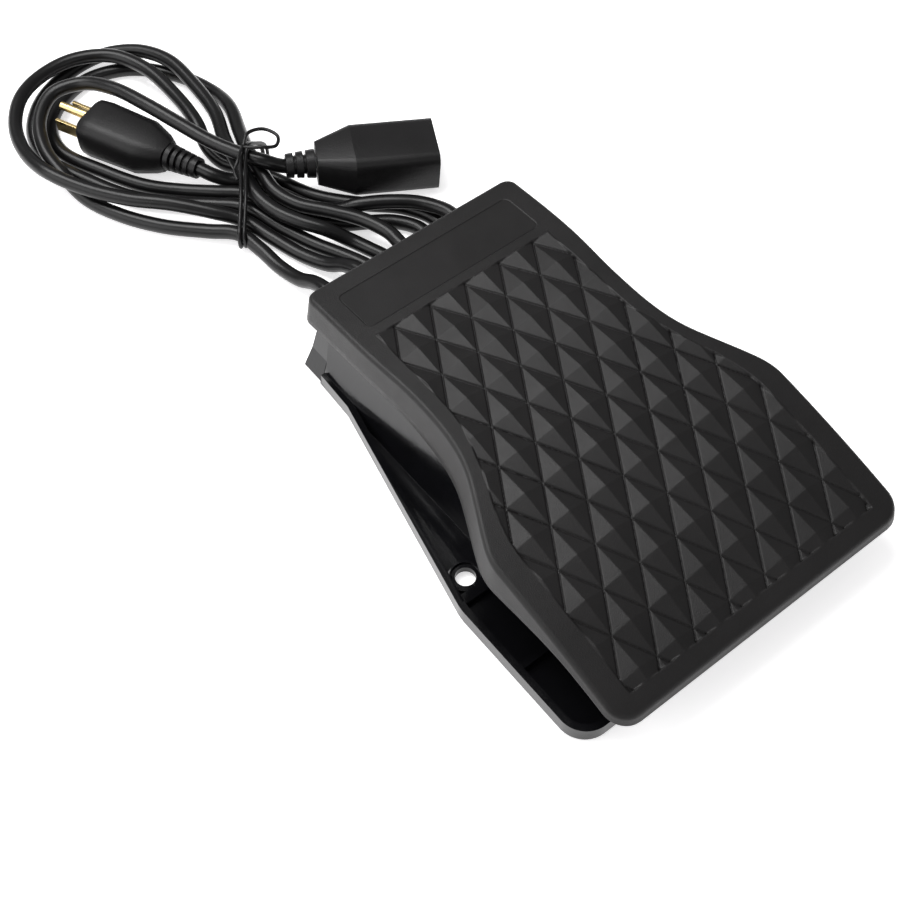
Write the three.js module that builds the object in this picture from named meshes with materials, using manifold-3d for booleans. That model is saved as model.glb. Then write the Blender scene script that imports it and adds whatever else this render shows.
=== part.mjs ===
// Foot pedal for a sewing machine: a wide arched tread hinged over a low base tray, with a micro
// switch inside. A long cord ends in a plug and a shorter one in a socket, tied in one hank.
// Millimetres. +X is the right-hand side, -Y is the wide front edge, +Y is the cord end, +Z is up.
import * as THREE from 'three';
import { mergeVertices } from 'three/addons/utils/BufferGeometryUtils.js';
import Module from 'manifold-3d';

const wasm = await Module();
wasm.setup();

// ---- driving dimensions ----
const GAP = 0.3;
const FOOT_HEIGHT = 1.2;
const FLOOR_PLATE_TOP = 3.4;

// tread arch, a circle seen from the side
const ARCH_RADIUS = 518.3;
const ARCH_TOP_Y = 45.8;
const ARCH_TOP_Z = 47.7;
const TREAD_FRONT_Y = -101;
const TREAD_REAR_Y = 99;
const TREAD_FRONT_HALF_WIDTH = 67.2;
const TREAD_FRONT_CORNER_RADIUS = 7;
const TREAD_REAR_CORNER_RADIUS = 3;
const TREAD_EDGE_ROUND = 1.9;
const TREAD_SHELL = 2.4;
const SKIRT_FLARE = 0.12;
const RIB_X = 12;
// half width of the top edge line along the tread: [y, half width, slope]
const TREAD_WAIST = [
  [-38, 67.2, 0],
  [-27, 64.4, -0.48],
  [-5, 53.4, -0.46],
  [8, 49.2, -0.2],
  [32, 47.5, 0],
  [62, 49.1, 0.03],
  [96, 49.2, 0],
];
// depth of the skirt below the top edge line along the tread: [y, depth, slope]
const SKIRT_DEPTH = [
  [-104, 4.5, 0],
  [-78, 5, 0.05],
  [-34, 13, 0.16],
  [2, 16.5, 0],
  [50, 13, -0.05],
  [104, 12.5, 0],
];
const LABEL_HALF_WIDTH = 42;
const LABEL_FRONT_Y = 70.6;
const LABEL_REAR_Y = 91.8;
const LABEL_POCKET_DEPTH = 1.0;
const LABEL_THICKNESS = 0.5;

// base tray outline, half of it from the rear to the front
const BASE_REAR_Y = 91;
const BASE_REAR_HALF_WIDTH = 53.8;
const BASE_NECK_Y = 71;
const BASE_NECK_HALF_WIDTH = 54.7;
const BASE_BEND_Y = -27;
const BASE_HALF_WIDTH = 76.3;
const BASE_FRONT_Y = -93.3;
const BASE_CORNER_RADIUS = 11;
const BASE_BEND_RADIUS = 26;
const RIM_TOP = 8;
const RIM_THICKNESS = 2.8;
const RIB_THICKNESS = 2.4;
const RIB_TOP = 6;
const RIB_Y = [-26, -57.5];
const MOUNT_HOLE_X = 65.1;
const MOUNT_HOLE_Y = -16.2;
const MOUNT_HOLE_RADIUS = 3.9;
const MOUNT_PAD_RADIUS = 6.6;
const MOUNT_PAD_TOP = 5.2;
const MOUNT_RECESS_RADIUS = 5.6;
const MOUNT_RECESS_FLOOR = 4.2;

// switch housing, an open box with leaning walls that stands on the tray
const HOUSING_FRONT_Y = -22;
const HOUSING_WALL = 2.2;
const HOUSING_TOP_CLEARANCE = 5.2;
// half width of the housing wall at a height: [z, half width]
const HOUSING_LEAN = [
  [FOOT_HEIGHT, 54.2],
  [12, 50.8],
  [44, 46],
];
const REAR_COVER_FRONT_Y = 91.4;
const REAR_COVER_REAR_Y = 103.5;
const REAR_COVER_LEAN = 0.189;
const REAR_COVER_TOP = 38;
const REAR_COVER_INSET = 1.2;

// hinge
const HINGE_Y = 85;
const HINGE_Z = 30;
const HINGE_PIN_RADIUS = 2;
const HINGE_PIN_HALF_LENGTH = 43.2;
const HINGE_BORE_RADIUS = 2.4;
const EAR_X = 39.5;
const EAR_THICKNESS = 3.6;
const LUG_X = 34.5;
const LUG_THICKNESS = 4.4;
const PRESS_ANGLE = 0.07;

// return springs
const SPRING_X = 24;
const SPRING_Y = -40;
const SPRING_RADIUS = 5.6;
const SPRING_WIRE_RADIUS = 0.6;
const SPRING_TURNS = 6;
const SPRING_BOTTOM = 6.3;
const SPRING_TOP = 35.3;
const SEAT_RADIUS = 8;
const STUD_RADIUS = 4.2;

// micro switch
const SWITCH_Y = 44;
const SWITCH_LENGTH = 27.8;
const SWITCH_WIDTH = 10.3;
const SWITCH_BOTTOM = 8;
const SWITCH_TOP = 23.9;
const LEVER_HINGE_Y = 55;
const LEVER_TIP_Y = 29;
const LEVER_ANGLE = 0.18;
const PUSHER_Y = 33;

// cord exits through the rear cover
const CORD_RADIUS = 3.2;
const CORD_EXIT_Z = 12.5;
const PLUG_CORD_EXIT_X = -11;
const SOCKET_CORD_EXIT_X = -28;

// centre lines of the two cords, from the cut end of the sheath inside the housing to the moulding
const SOCKET_CORD_ROUTE = [
  [-28, 66, 12.5], [-28, 95, 12.5], [-28, 112, 12.5], [-28, 122, 12.4], [-28.6, 130, 9.8], [-30.5, 138, 6],
  [-32, 151, 3.5], [-33, 164, 4], [-36, 175.5, 5.7], [-45, 186, 4.5], [-58, 201, 3.5], [-69, 218, 3.5],
  [-76, 236, 4], [-78, 252, 8.3], [-77, 268, 10.6], [-70, 283, 13], [-58, 291, 15.5], [-45, 286, 17.5],
  [-37, 271, 20.5], [-31.5, 252, 21.5], [-26, 233, 20.5], [-21, 217, 19.5], [-15.5, 203, 19.8],
  [-9.5, 193, 19.2], [-2.5, 188.5, 15.3], [9, 182.4, 14.3],
];
const PLUG_CORD_ROUTE = [
  [-11, 66, 12.5], [-11, 95, 12.5], [-11, 112, 12.5], [-11, 122, 12.4], [-12.8, 130, 9.6], [-16, 137, 6],
  [-20.5, 150, 3.5], [-25.2, 166, 4], [-30, 181, 5.7], [-39, 191, 8.5], [-51, 204, 10.6],
  [-64, 218, 10.6], [-76, 235, 11.3], [-84, 252, 12.5], [-85, 271, 10.5], [-80, 289, 9.8],
  [-69, 303, 10.6], [-54, 310, 10.6], [-37, 310, 10.8], [-22, 301, 11], [-14.5, 284, 11.2],
  [-13, 262, 10.6], [-15, 240, 10.2], [-18.5, 226, 7.5], [-17, 215.5, 5], [-10, 204.5, 5.7],
  [-3.5, 191.5, 4.2], [2.8, 177, 3.5], [9.5, 167, 3.5], [18.5, 157, 3.5], [30, 145.5, 3.5],
  [36.5, 132, 3.5], [35.5, 119.5, 3.5], [27.5, 110.5, 3.5], [16.5, 108, 3.5], [5.5, 112.5, 3.5],
  [-0.5, 122, 3.5], [-3.5, 131, 3.5], [-8, 141.5, 3.5], [-12.8, 152, 3.5], [-18, 166, 4],
  [-25.3, 186.5, 5.7], [-34, 196.5, 5], [-46, 209, 3.5], [-59, 223.5, 3.5], [-69.5, 245, 3.5],
  [-77, 268, 3.5], [-73.5, 287, 3.5], [-60, 303, 3.5], [-41, 311.5, 3.5], [-23, 311, 5], [-10, 299, 9],
  [-3, 282, 11], [-2.5, 262, 10.8], [-5, 240, 10.6], [-11.5, 222, 11], [-15.2, 208.5, 12.8],
  [-17.8, 196, 12.8], [-20, 184, 12.3], [-18.5, 172, 11.4], [-13.5, 161, 10.6], [-7, 152, 9.2],
  [0.5, 142.5, 4.5], [5.5, 131, 3.5], [9.5, 121, 3.5], [18, 116, 3.5], [26.5, 121, 3.5],
  [28, 131, 3.5], [22, 141, 3.5], [13.5, 147.5, 3.5], [5, 153, 3.5], [-2.5, 160, 3.5],
  [-9.3, 169.5, 3.8], [-15.2, 182, 5], [-20.2, 193, 5.7], [-29.5, 202.5, 5], [-40, 214, 3.5],
  [-51.5, 227, 3.5], [-61.5, 246.5, 3.5], [-69.5, 268, 3.5], [-66, 284, 3.5], [-54, 296, 3.5],
  [-36, 302, 3.5], [-17.5, 296.5, 3.5], [-2.5, 280, 3.5], [4.5, 258, 5], [3, 240, 9], [-3.5, 222, 11],
  [-8, 209, 12.8], [-10.5, 196, 12.8], [-12, 182, 11.2], [-8.5, 170, 10.6], [0, 158, 10.6],
  [8, 146, 10.4], [12.5, 133, 10.4], [13, 121, 10.4], [18.5, 111.5, 10.4], [29, 108.5, 10.4],
  [38, 114, 10.4], [40, 125, 10.4], [34, 137, 10.4], [24.5, 146, 10.4], [13.5, 154.5, 8.8],
  [6, 161, 5], [-1.2, 170, 3.8], [-8, 183.5, 5.2], [-14.8, 198.5, 5.7], [-21, 203.5, 6.3],
  [-26.5, 208.5, 8.8], [-29.8, 214.8, 10], [-36.2, 229.5, 10],
];

// plug: where its cord enters, the way it points, and its length
const PLUG_START = [-36.2, 229.5, 10];
const PLUG_DIRECTION = [-0.4, 0.917, 0];
const PLUG_LENGTH = 42;
const BLADE_LENGTH = 14;
const BLADE_SPACING = 12.7;
const GROUND_PIN_RISE = 5.5;
// half width and half height of the plug along its length: [distance, half width, half height, corner]
const PLUG_SECTIONS = [
  [0, 6.4, 6.2, 4],
  [3, 8.4, 7.4, 5],
  [12, 11.6, 9.4, 6],
  [36, 12, 10, 6],
  [40.4, 11.6, 9.7, 6],
  [42, 10.4, 8.6, 5],
];
const PLUG_RELIEF_LENGTH = 16;

// socket: where its cord enters, the way it points, and its length
const SOCKET_START = [-2.5, 188.5, 15.2];
const SOCKET_DIRECTION = [0.8824, -0.4672, -0.06];
const SOCKET_RELIEF_LENGTH = 14;
const SOCKET_SECTIONS = [
  [14.3, 7.4, 7.4, 2.4],
  [30.3, 14, 10.4, 4.5],
  [67, 14, 10.4, 4.5],
];
const SLOT_DEPTH = 16;
const GROUND_SLOT_RISE = 5;
const GROUND_SLOT_RADIUS = 2.6;

// the twist that ties the hank: [across the bundle, along it, height]
const TIE_CENTRE = [-22, 192];
const TIE_ACROSS = [-0.61, -0.79];
const TIE_RADIUS = 0.9;
const TIE_ALONG = [0.79, -0.61];
const TIE_LOOP = [
  [25.2, 0, 1.8], [10, 0, 1.25], [-8, 1, 1.25], [-19, 4.6, 1.7], [-24, 7, 7],
  [-23, 6.5, 14.5], [-18, 4, 20.4],
  [-11.5, 1, 24.9], [-6, 0, 22.5], [0, 0, 18.4], [9, 0, 13.5], [19, 0, 11.2], [26, 0, 9.4], [27.4, 0, 4.4],
];
const BOW_LOOP = [
  [-14.2, 200.5, 24.9], [-9, 204.5, 26.5], [-2, 203, 26], [1, 196.5, 25], [-3, 192, 25], [-9, 194, 26.2],
  [-15.4, 200.6, 25.1],
];

// cord clamp inside the housing
const CLAMP_FRONT_Y = 72;
const CLAMP_REAR_Y = 78;
const CLAMP_LEFT_X = -38;
const CLAMP_RIGHT_X = -4;
const CLAMP_SCREW_X = [-35, -19.5];
const CLAMP_SCREW_Y = 75;

// inner wires
const WIRE_RADIUS = 0.9;
const SPLICE_X = [-20, -34];
const SPLICE_OPEN_Y = 52;
const TERMINAL_Y = [36, 44, 52];
const TERMINAL_Z = 19;
const TERMINAL_LENGTH = 6;
const WIRE_ROUTES = {
  wire_live_plug: [[-12, 65.6, 13.8], [-13, 59, 17], [-15, 51, 19], [-15.6, 45.5, 19], [-11.9, 44, 19]],
  wire_live_socket: [[-28, 65.6, 14], [-26, 57, 17], [-22, 45, 19], [-17, 37.5, 19], [-11.9, 36, 19]],
  wire_neutral_plug: [[-11.4, 65.6, 10.9], [-13, 60.5, 9], [-16.4, 56.5, 7.8], [-18.6, 52.4, 6.8]],
  wire_neutral_socket: [[-27, 65.6, 10.9], [-26, 60.5, 9], [-23.6, 56.5, 7.8], [-21.4, 52.4, 6.8]],
  wire_ground_plug: [
    [-9, 65.2, 12], [-8.6, 63, 10], [-8.6, 60, 6], [-11, 58, 4.7], [-22, 57, 4.7],
    [-29.5, 57, 5], [-32.4, 54.6, 6], [-32.8, 52.6, 6.6],
  ],
  wire_ground_socket: [[-30, 65.6, 12], [-31.6, 60.5, 9.4], [-34.4, 56.5, 7.6], [-35.4, 52.4, 6.6]],
};

// ---- materials ----
function makeMaterial(colour, roughness, metalness) {
  return new THREE.MeshStandardMaterial({ color: colour, roughness: roughness, metalness: metalness });
}
const treadPlastic = makeMaterial(0x232223, 0.62, 0);
const trayPlastic = makeMaterial(0x111113, 0.25, 0);
const labelPlastic = makeMaterial(0x1d1d1f, 0.5, 0);
const cordRubber = makeMaterial(0x0d0d0e, 0.5, 0);
const plugRubber = makeMaterial(0x121213, 0.55, 0);
const footRubber = makeMaterial(0x1a1a1a, 0.9, 0);
const steel = makeMaterial(0xa8abb0, 0.35, 1);
const brass = makeMaterial(0xc3a15a, 0.3, 1);
const switchPlastic = makeMaterial(0x24262a, 0.4, 0);
const buttonPlastic = makeMaterial(0xb23a2e, 0.4, 0);
const spliceNylon = makeMaterial(0xd9d4c4, 0.5, 0);
const wireBlack = makeMaterial(0x151515, 0.5, 0);
const wireWhite = makeMaterial(0xe4e2da, 0.5, 0);
const wireGreen = makeMaterial(0x2f7d43, 0.5, 0);

// ---- solids ----
function toSolid(geometry) {
  const bare = geometry.index ? geometry.toNonIndexed() : geometry.clone();
  bare.deleteAttribute('normal');
  bare.deleteAttribute('uv');
  const merged = mergeVertices(bare, 1e-5);
  const mesh = new wasm.Mesh({
    numProp: 3,
    vertProperties: new Float32Array(merged.attributes.position.array),
    triVerts: new Uint32Array(merged.index.array),
  });
  return new wasm.Manifold(mesh);
}

function toGeometry(solid) {
  const mesh = solid.getMesh();
  const geometry = new THREE.BufferGeometry();
  geometry.setAttribute('position', new THREE.BufferAttribute(new Float32Array(mesh.vertProperties), 3));
  geometry.setIndex(new THREE.BufferAttribute(new Uint32Array(mesh.triVerts), 1));
  geometry.computeVertexNormals();
  return geometry;
}

function makePiece(name, solid, material) {
  const piece = new THREE.Mesh(toGeometry(solid), material);
  piece.name = name;
  return piece;
}

function box(x0, x1, y0, y1, z0, z1) {
  const geometry = new THREE.BoxGeometry(x1 - x0, y1 - y0, z1 - z0);
  geometry.translate((x0 + x1) / 2, (y0 + y1) / 2, (z0 + z1) / 2);
  return toSolid(geometry);
}

function cylinderZ(x, y, z0, z1, radius, sides = 32) {
  const geometry = new THREE.CylinderGeometry(radius, radius, z1 - z0, sides);
  geometry.rotateX(Math.PI / 2);
  geometry.translate(x, y, (z0 + z1) / 2);
  return toSolid(geometry);
}

function cylinderX(x0, x1, y, z, radius, sides = 24) {
  const geometry = new THREE.CylinderGeometry(radius, radius, x1 - x0, sides);
  geometry.rotateZ(Math.PI / 2);
  geometry.translate((x0 + x1) / 2, y, z);
  return toSolid(geometry);
}

function cylinderY(x, y0, y1, z, radiusFront, radiusRear, sides = 24) {
  const geometry = new THREE.CylinderGeometry(radiusRear, radiusFront, y1 - y0, sides);
  geometry.translate(x, (y0 + y1) / 2, z);
  return toSolid(geometry);
}

function prism(shape, z0, z1, curveSegments = 8) {
  const options = { depth: z1 - z0, bevelEnabled: false, curveSegments: curveSegments };
  const geometry = new THREE.ExtrudeGeometry(shape, options);
  geometry.translate(0, 0, z0);
  return toSolid(geometry);
}

// Cubic through knots of [position, value, slope], held flat beyond the ends.
function alongKnots(knots, position) {
  const last = knots.length - 1;
  if (position <= knots[0][0]) return knots[0][1];
  if (position >= knots[last][0]) return knots[last][1];
  let index = 0;
  while (position > knots[index + 1][0]) index += 1;
  const [x0, v0, s0] = knots[index];
  const [x1, v1, s1] = knots[index + 1];
  const span = x1 - x0;
  const t = (position - x0) / span;
  const t2 = t * t;
  const t3 = t2 * t;
  const start = (2 * t3 - 3 * t2 + 1) * v0 + (t3 - 2 * t2 + t) * span * s0;
  const end = (3 * t2 - 2 * t3) * v1 + (t3 - t2) * span * s1;
  return start + end;
}

// A solid skinned through rings of paired points: every ring is a list of {x, y, z} for the right
// side from front to rear, mirrored to the left, so its caps are strips straight across.
function pairedSolid(rings) {
  const count = rings[0].length;
  const positions = [];
  rings.forEach((ring) => {
    ring.forEach((point) => positions.push(point.x, point.y, point.z));
    ring.forEach((point) => positions.push(-point.x, point.y, point.z));
  });
  const around = [];
  for (let i = 0; i < count; i += 1) around.push(i);
  for (let i = count - 1; i >= 0; i -= 1) around.push(count + i);
  const index = [];
  for (let r = 0; r + 1 < rings.length; r += 1) {
    const low = r * count * 2;
    const high = low + count * 2;
    for (let i = 0; i < around.length; i += 1) {
      const a = around[i];
      const b = around[(i + 1) % around.length];
      index.push(low + a, low + b, high + b);
      index.push(low + a, high + b, high + a);
    }
  }
  const top = (rings.length - 1) * count * 2;
  for (let i = 0; i + 1 < count; i += 1) {
    index.push(i, count + i, count + i + 1);
    index.push(i, count + i + 1, i + 1);
    index.push(top + i, top + i + 1, top + count + i + 1);
    index.push(top + i, top + count + i + 1, top + count + i);
  }
  const mesh = new wasm.Mesh({
    numProp: 3,
    vertProperties: new Float32Array(positions),
    triVerts: new Uint32Array(index),
  });
  return new wasm.Manifold(mesh);
}

// ---- tread ----
function archZ(y) {
  const run = y - ARCH_TOP_Y;
  return Math.sqrt(ARCH_RADIUS * ARCH_RADIUS - run * run) - ARCH_RADIUS + ARCH_TOP_Z;
}

function treadStations() {
  const stations = [];
  const cornerY = TREAD_FRONT_Y + TREAD_FRONT_CORNER_RADIUS;
  const cornerX = TREAD_FRONT_HALF_WIDTH - TREAD_FRONT_CORNER_RADIUS;
  for (let i = 0; i <= 6; i += 1) {
    const angle = (Math.PI / 2) * (i / 6);
    const x = cornerX + TREAD_FRONT_CORNER_RADIUS * Math.sin(angle);
    const y = cornerY - TREAD_FRONT_CORNER_RADIUS * Math.cos(angle);
    stations.push({ x: x, y: y, nx: Math.sin(angle), ny: -Math.cos(angle) });
  }
  const rearCornerY = TREAD_REAR_Y - TREAD_REAR_CORNER_RADIUS;
  const middle = 34;
  for (let i = 1; i < middle; i += 1) {
    const y = cornerY + (rearCornerY - cornerY) * (i / middle);
    const slope = (alongKnots(TREAD_WAIST, y + 0.5) - alongKnots(TREAD_WAIST, y - 0.5));
    const length = Math.hypot(1, slope);
    stations.push({ x: alongKnots(TREAD_WAIST, y), y: y, nx: 1 / length, ny: -slope / length });
  }
  const rearX = alongKnots(TREAD_WAIST, TREAD_REAR_Y) - TREAD_REAR_CORNER_RADIUS;
  for (let i = 0; i <= 4; i += 1) {
    const angle = (Math.PI / 2) * (i / 4);
    const x = rearX + TREAD_REAR_CORNER_RADIUS * Math.cos(angle);
    const y = rearCornerY + TREAD_REAR_CORNER_RADIUS * Math.sin(angle);
    stations.push({ x: x, y: y, nx: Math.cos(angle), ny: Math.sin(angle) });
  }
  return stations;
}

// One ring of the tread, moved out by offset and down by drop from the top edge line.
function treadRing(offset, drop) {
  return treadStations().map((station) => {
    const y = station.y + station.ny * offset(station.y);
    return { x: station.x + station.nx * offset(station.y), y: y, z: archZ(y) - drop(station.y) };
  });
}

function skirtOffset(y) {
  return TREAD_EDGE_ROUND + SKIRT_FLARE * alongKnots(SKIRT_DEPTH, y);
}

function makeTreadShell() {
  const depth = (y) => alongKnots(SKIRT_DEPTH, y);
  const outer = pairedSolid([
    treadRing(skirtOffset, depth),
    treadRing(() => TREAD_EDGE_ROUND, () => TREAD_EDGE_ROUND),
    treadRing(() => TREAD_EDGE_ROUND * 0.7, () => TREAD_EDGE_ROUND * 0.3),
    treadRing(() => 0, () => 0),
  ]);
  const below = 3;
  const inner = pairedSolid([
    treadRing((y) => skirtOffset(y) - TREAD_SHELL + SKIRT_FLARE * below, (y) => depth(y) + below),
    treadRing(() => TREAD_EDGE_ROUND - TREAD_SHELL, () => TREAD_SHELL),
  ]);
  return outer.subtract(inner);
}

function archStrip(halfWidth, y0, y1, dropTop, dropBottom, steps) {
  const top = [];
  const bottom = [];
  for (let i = 0; i <= steps; i += 1) {
    const y = y0 + (y1 - y0) * (i / steps);
    top.push({ x: halfWidth, y: y, z: archZ(y) - dropTop });
    bottom.push({ x: halfWidth, y: y, z: archZ(y) - dropBottom });
  }
  return pairedSolid([bottom, top]);
}

function makeHingeLug(side) {
  const x0 = side * LUG_X - LUG_THICKNESS / 2;
  const x1 = side * LUG_X + LUG_THICKNESS / 2;
  const round = cylinderX(x0, x1, HINGE_Y, HINGE_Z, 5);
  const web = box(x0, x1, HINGE_Y - 5, HINGE_Y + 5, HINGE_Z, archZ(HINGE_Y) - TREAD_SHELL + 1);
  const bore = cylinderX(x0 - 1, x1 + 1, HINGE_Y, HINGE_Z, HINGE_BORE_RADIUS);
  return round.add(web).subtract(bore);
}

function makeTread() {
  let solid = makeTreadShell();
  const pocket = archStrip(LABEL_HALF_WIDTH, LABEL_FRONT_Y, LABEL_REAR_Y, -1, LABEL_POCKET_DEPTH, 3);
  solid = solid.subtract(pocket);
  [-1, 1].forEach((side) => {
    solid = solid.add(makeHingeLug(side));
    const undersideZ = archZ(SPRING_Y) - TREAD_SHELL + 1;
    const seat = cylinderZ(side * SPRING_X, SPRING_Y, SPRING_TOP + GAP, undersideZ, SEAT_RADIUS);
    const stud = cylinderZ(side * SPRING_X, SPRING_Y, SPRING_TOP - 5, undersideZ, STUD_RADIUS, 20);
    solid = solid.add(seat).add(stud);
  });
  const pusherTop = archZ(PUSHER_Y) - TREAD_SHELL + 1;
  const pusher = box(-4, 4, PUSHER_Y - 1.6, PUSHER_Y + 1.6, leverTopZ(PUSHER_Y) + 0.5, pusherTop);
  const ribOuter = archStrip(RIB_X + 0.8, -92, 76, TREAD_SHELL - 1, TREAD_SHELL + 2.4, 12);
  const ribInner = archStrip(RIB_X - 0.8, -93, 77, TREAD_SHELL - 2, TREAD_SHELL + 4, 12);
  solid = solid.add(ribOuter.subtract(ribInner));
  return solid.add(pusher);
}

function makeLabelPlate() {
  const inset = GAP;
  const bottom = LABEL_POCKET_DEPTH - GAP;
  return archStrip(
    LABEL_HALF_WIDTH - inset, LABEL_FRONT_Y + inset, LABEL_REAR_Y - inset,
    bottom - LABEL_THICKNESS, bottom, 3,
  );
}

// ---- base tray ----
function baseShape(inset) {
  const shape = new THREE.Shape();
  const half = BASE_HALF_WIDTH - inset;
  const front = BASE_FRONT_Y + inset;
  const rear = BASE_REAR_Y - inset;
  const corner = BASE_CORNER_RADIUS - inset;
  const bendAngle = Math.atan2(BASE_HALF_WIDTH - BASE_NECK_HALF_WIDTH, BASE_NECK_Y - BASE_BEND_Y);
  const bend = BASE_BEND_RADIUS * Math.tan(bendAngle / 2);
  const neck = BASE_NECK_HALF_WIDTH - inset;
  const rearHalf = BASE_REAR_HALF_WIDTH - inset;
  shape.moveTo(-rearHalf, rear);
  shape.lineTo(-neck, BASE_NECK_Y);
  shape.lineTo(-half + bend * Math.sin(bendAngle), BASE_BEND_Y + bend * Math.cos(bendAngle));
  shape.quadraticCurveTo(-half, BASE_BEND_Y, -half, BASE_BEND_Y - bend);
  shape.lineTo(-half, front + corner);
  shape.absarc(-half + corner, front + corner, corner, Math.PI, Math.PI * 1.5, false);
  shape.lineTo(half - corner, front);
  shape.absarc(half - corner, front + corner, corner, -Math.PI / 2, 0, false);
  shape.lineTo(half, BASE_BEND_Y - bend);
  shape.quadraticCurveTo(half, BASE_BEND_Y, half - bend * Math.sin(bendAngle), BASE_BEND_Y + bend);
  shape.lineTo(neck, BASE_NECK_Y);
  shape.lineTo(rearHalf, rear);
  shape.closePath();
  return shape;
}

function housingHalfWidth(z) {
  for (let i = 0; i + 1 < HOUSING_LEAN.length; i += 1) {
    const [z0, w0] = HOUSING_LEAN[i];
    const [z1, w1] = HOUSING_LEAN[i + 1];
    if (z <= z1) return w0 + ((w1 - w0) * (z - z0)) / (z1 - z0);
  }
  return HOUSING_LEAN[HOUSING_LEAN.length - 1][1];
}

function housingTopZ(y) {
  return archZ(y) - TREAD_SHELL - HOUSING_TOP_CLEARANCE - PRESS_ANGLE * Math.max(0, HINGE_Y - y);
}

// A block under the tread between two stations, drawn in from the housing wall by inset.
function housingBlock(y0, y1, inset, bottomZ, topDrop) {
  const levels = [bottomZ, 12, null];
  const rings = levels.map((level) => {
    const ring = [];
    for (let i = 0; i <= 10; i += 1) {
      const y = y0 + (y1 - y0) * (i / 10);
      const z = level === null ? housingTopZ(y) - topDrop : level;
      ring.push({ x: housingHalfWidth(z) - inset, y: y, z: z });
    }
    return ring;
  });
  return pairedSolid(rings);
}

function makeHousing() {
  const outer = housingBlock(HOUSING_FRONT_Y, BASE_REAR_Y, 0, FOOT_HEIGHT + 0.5, 0);
  const inner = housingBlock(
    HOUSING_FRONT_Y + HOUSING_WALL, BASE_REAR_Y + 4, HOUSING_WALL, FLOOR_PLATE_TOP, -3,
  );
  return outer.subtract(inner);
}

function makeMountPad(side) {
  return cylinderZ(side * MOUNT_HOLE_X, MOUNT_HOLE_Y, FOOT_HEIGHT + 0.5, MOUNT_PAD_TOP, MOUNT_PAD_RADIUS);
}

function cutMountHole(solid, side) {
  const x = side * MOUNT_HOLE_X;
  const hole = cylinderZ(x, MOUNT_HOLE_Y, -1, MOUNT_PAD_TOP + 6, MOUNT_HOLE_RADIUS);
  const recess = cylinderZ(x, MOUNT_HOLE_Y, MOUNT_RECESS_FLOOR, MOUNT_PAD_TOP + 6, MOUNT_RECESS_RADIUS);
  return solid.subtract(hole).subtract(recess);
}

function makeHingeEar(side) {
  const x0 = side * EAR_X - EAR_THICKNESS / 2;
  const x1 = side * EAR_X + EAR_THICKNESS / 2;
  const post = box(x0, x1, HINGE_Y - 5.6, HINGE_Y + 5.6, FLOOR_PLATE_TOP - 1, HINGE_Z);
  const round = cylinderX(x0, x1, HINGE_Y, HINGE_Z, 5.6);
  const bore = cylinderX(x0 - 1, x1 + 1, HINGE_Y, HINGE_Z, HINGE_BORE_RADIUS);
  return post.add(round).subtract(bore);
}

function makeSwitchPosts() {
  let posts = null;
  [-1, 1].forEach((end) => {
    const y = SWITCH_Y + end * 11.1;
    const block = box(
      SWITCH_WIDTH / 2 + GAP, SWITCH_WIDTH / 2 + 5, y - 3.6, y + 3.6, FLOOR_PLATE_TOP - 1, SWITCH_BOTTOM + 7,
    );
    posts = posts ? posts.add(block) : block;
  });
  const rest = box(
    -SWITCH_WIDTH / 2, SWITCH_WIDTH / 2, SWITCH_Y - 8, SWITCH_Y + 8,
    FLOOR_PLATE_TOP - 1, SWITCH_BOTTOM - GAP,
  );
  return posts.add(rest);
}

function makeClampSaddle() {
  const top = CORD_EXIT_Z - CORD_RADIUS - GAP;
  let saddle = box(CLAMP_LEFT_X, CLAMP_RIGHT_X, CLAMP_FRONT_Y, CLAMP_REAR_Y, FLOOR_PLATE_TOP - 1, top);
  CLAMP_SCREW_X.forEach((x) => {
    saddle = saddle.subtract(cylinderZ(x, CLAMP_SCREW_Y, FLOOR_PLATE_TOP + 1, top + 1, 1.7, 16));
  });
  return saddle;
}

function makeBaseTray() {
  let solid = prism(baseShape(0), FOOT_HEIGHT, RIM_TOP);
  const tray = prism(baseShape(RIM_THICKNESS), FLOOR_PLATE_TOP, RIM_TOP + 2);
  solid = solid.subtract(tray);
  solid = solid.add(makeHousing());
  const opening = box(
    -(BASE_REAR_HALF_WIDTH + 3), BASE_REAR_HALF_WIDTH + 3,
    BASE_REAR_Y - 1, BASE_REAR_Y + 6, FLOOR_PLATE_TOP, 60,
  );
  const ribLength = BASE_HALF_WIDTH - RIM_THICKNESS + 0.5;
  const housingFoot = housingHalfWidth(FLOOR_PLATE_TOP) - 3;
  [-1, 1].forEach((side) => {
    const x0 = Math.min(side * ribLength, side * housingFoot);
    const x1 = Math.max(side * ribLength, side * housingFoot);
    const y = RIB_Y[0];
    solid = solid.add(box(x0, x1, y, y + 4.2, FLOOR_PLATE_TOP - 1, RIB_TOP));
  });
  const y = RIB_Y[1];
  solid = solid.add(
    box(-ribLength, ribLength, y - RIB_THICKNESS / 2, y + RIB_THICKNESS / 2, FLOOR_PLATE_TOP - 1, RIB_TOP),
  );
  [-1, 1].forEach((side) => {
    solid = solid.add(makeMountPad(side));
    solid = solid.add(makeHingeEar(side));
    const x = side * SPRING_X;
    solid = solid.add(cylinderZ(x, SPRING_Y, FLOOR_PLATE_TOP - 1, SPRING_BOTTOM - GAP, SEAT_RADIUS));
    solid = solid.add(cylinderZ(x, SPRING_Y, FLOOR_PLATE_TOP - 1, SPRING_BOTTOM + 6, STUD_RADIUS, 20));
  });
  solid = solid.add(makeSwitchPosts()).add(makeClampSaddle());
  solid = solid.subtract(opening);
  [-1, 1].forEach((side) => {
    solid = cutMountHole(solid, side);
  });
  return solid;
}

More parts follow.
